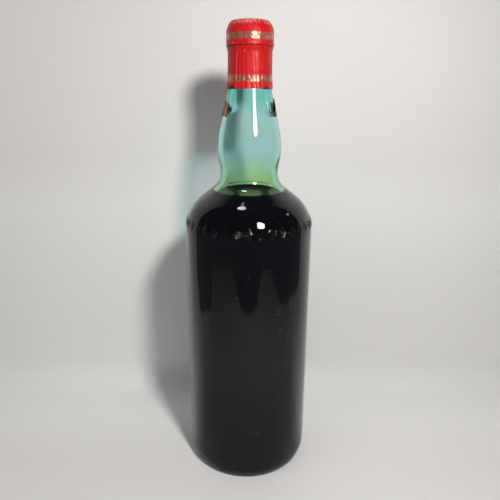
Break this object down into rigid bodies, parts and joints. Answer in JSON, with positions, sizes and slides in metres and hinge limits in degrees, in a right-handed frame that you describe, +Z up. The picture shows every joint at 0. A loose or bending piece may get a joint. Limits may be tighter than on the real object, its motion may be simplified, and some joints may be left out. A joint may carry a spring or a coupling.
{
  "type": "corked wine bottle",
  "caption": "Tall round green glass bottle with a bulbed neck, dark wine inside, a driven cork, a red foil capsule and two torn paper seal ends.",
  "frame": {"origin": "centre of the ring that the bottle stands on", "axes": "+Z up along the bottle's axis, -Y the front as seen in the picture, +X to the right"},
  "size_m": [0.081, 0.081, 0.2863],
  "materials": {
    "green_glass": "gloss",
    "dark_wine": "gloss",
    "cork_bark": "matte",
    "red_foil": "gloss",
    "old_paper": "matte"
  },
  "bodies": {
    "bottle": {"bottle_glass": "green_glass", "wine": "dark_wine", "capsule_skirt": "red_foil", "seal_end_left": "old_paper", "seal_end_right": "old_paper"},
    "stopper": {"cork": "cork_bark"},
    "crown": {"capsule_crown": "red_foil"}
  },
  "joints": [
    {"name": "cork_pull", "type": "slide", "parent": "bottle", "child": "stopper", "axis": [0, 0, 1], "range_m": [0, 0.04]},
    {"name": "crown_lift", "type": "slide", "parent": "stopper", "child": "crown", "axis": [0, 0, 1], "range_m": [0, 0.03]}
  ]
}
